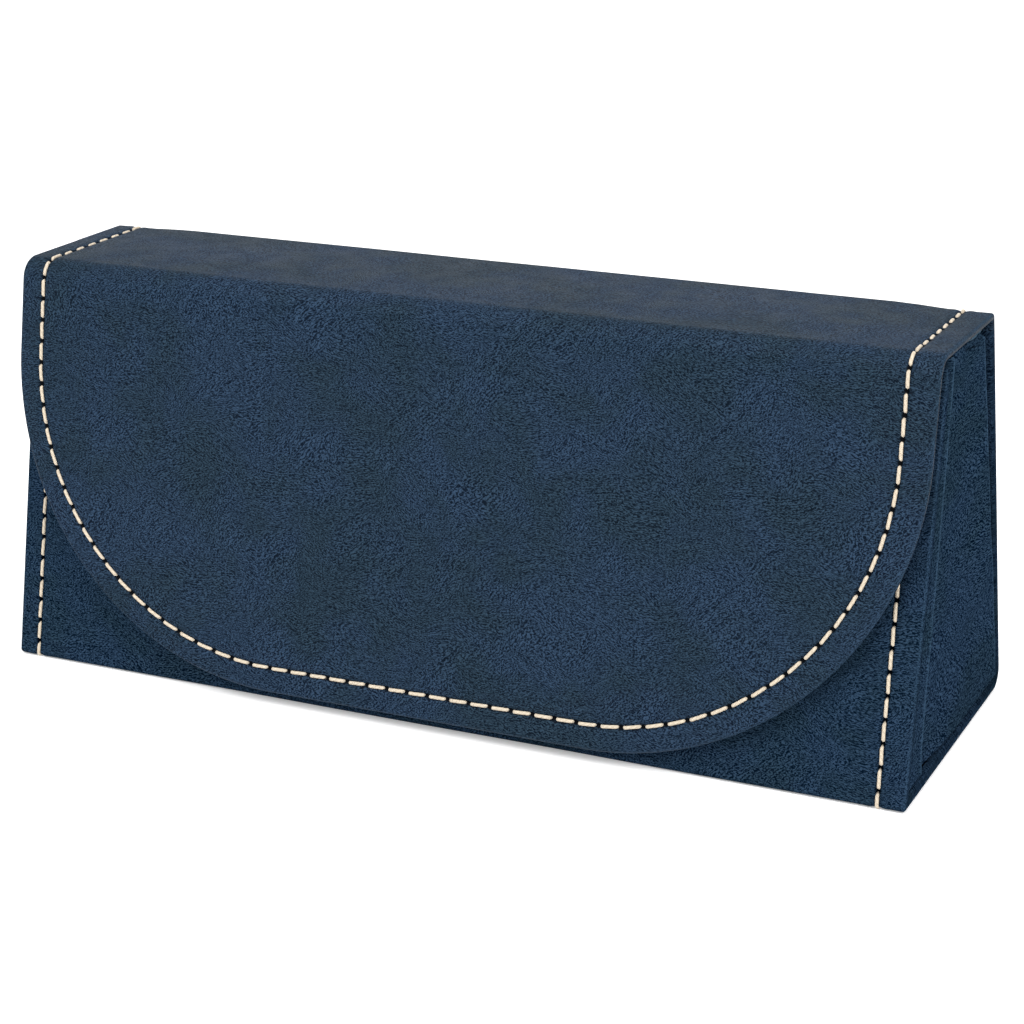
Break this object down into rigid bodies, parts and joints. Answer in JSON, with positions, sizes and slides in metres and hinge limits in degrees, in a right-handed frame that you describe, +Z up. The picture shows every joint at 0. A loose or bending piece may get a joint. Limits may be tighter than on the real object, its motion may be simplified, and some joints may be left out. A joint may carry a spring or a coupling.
{
  "type": "eyeglasses case",
  "caption": "Lined leatherette box case with wedge-shaped ends and a hinged lid whose D-shaped flap folds down over the front and closes on magnets.",
  "frame": {"origin": "centre of the closed case's base, on the surface it stands on", "axes": "+X along the case, -Y towards the front that the flap covers, +Z up towards the lid"},
  "size_m": [0.165, 0.0604, 0.071],
  "materials": {
    "leatherette": "navy leatherette with a fine creased grain and cloudy colour, satin",
    "greyboard": "uncoated grey paperboard",
    "lining_cloth": "short soft nap",
    "thread": "twisted polyester sewing thread",
    "magnet": "nickel plate"
  },
  "bodies": {
    "body": {"body_cover": "leatherette", "front_board": "greyboard", "base_board": "greyboard", "rear_board": "greyboard", "body_lining": "lining_cloth", "left_end": "leatherette", "right_end": "leatherette", "left_end_board": "greyboard", "right_end_board": "greyboard", "left_end_lining": "lining_cloth", "right_end_lining": "lining_cloth", "front_magnet_left": "magnet", "front_magnet_right": "magnet", "body_stitching_left": "thread", "body_stitching_right": "thread"},
    "lid": {"lid_cover": "leatherette", "lid_board": "greyboard", "lid_lining": "lining_cloth", "lid_stitching_left": "thread", "lid_stitching_right": "thread", "rear_hinge": "leatherette", "front_fold": "leatherette"},
    "flap": {"flap_cover": "leatherette", "flap_board": "greyboard", "flap_lining": "lining_cloth", "flap_magnet_left": "magnet", "flap_magnet_right": "magnet", "flap_stitching": "thread"}
  },
  "joints": [
    {"name": "lid_hinge", "type": "hinge", "parent": "body", "child": "lid", "pos_m": [0, 0.01154, 0.07034], "axis": [-1, 0, 0], "range_deg": [0, 170], "deforming": ["rear_hinge"]},
    {"name": "flap_fold", "type": "hinge", "parent": "lid", "child": "flap", "pos_m": [0, -0.01776, 0.06982], "axis": [-1, 0, 0], "range_deg": [0, 150], "deforming": ["front_fold"]}
  ]
}
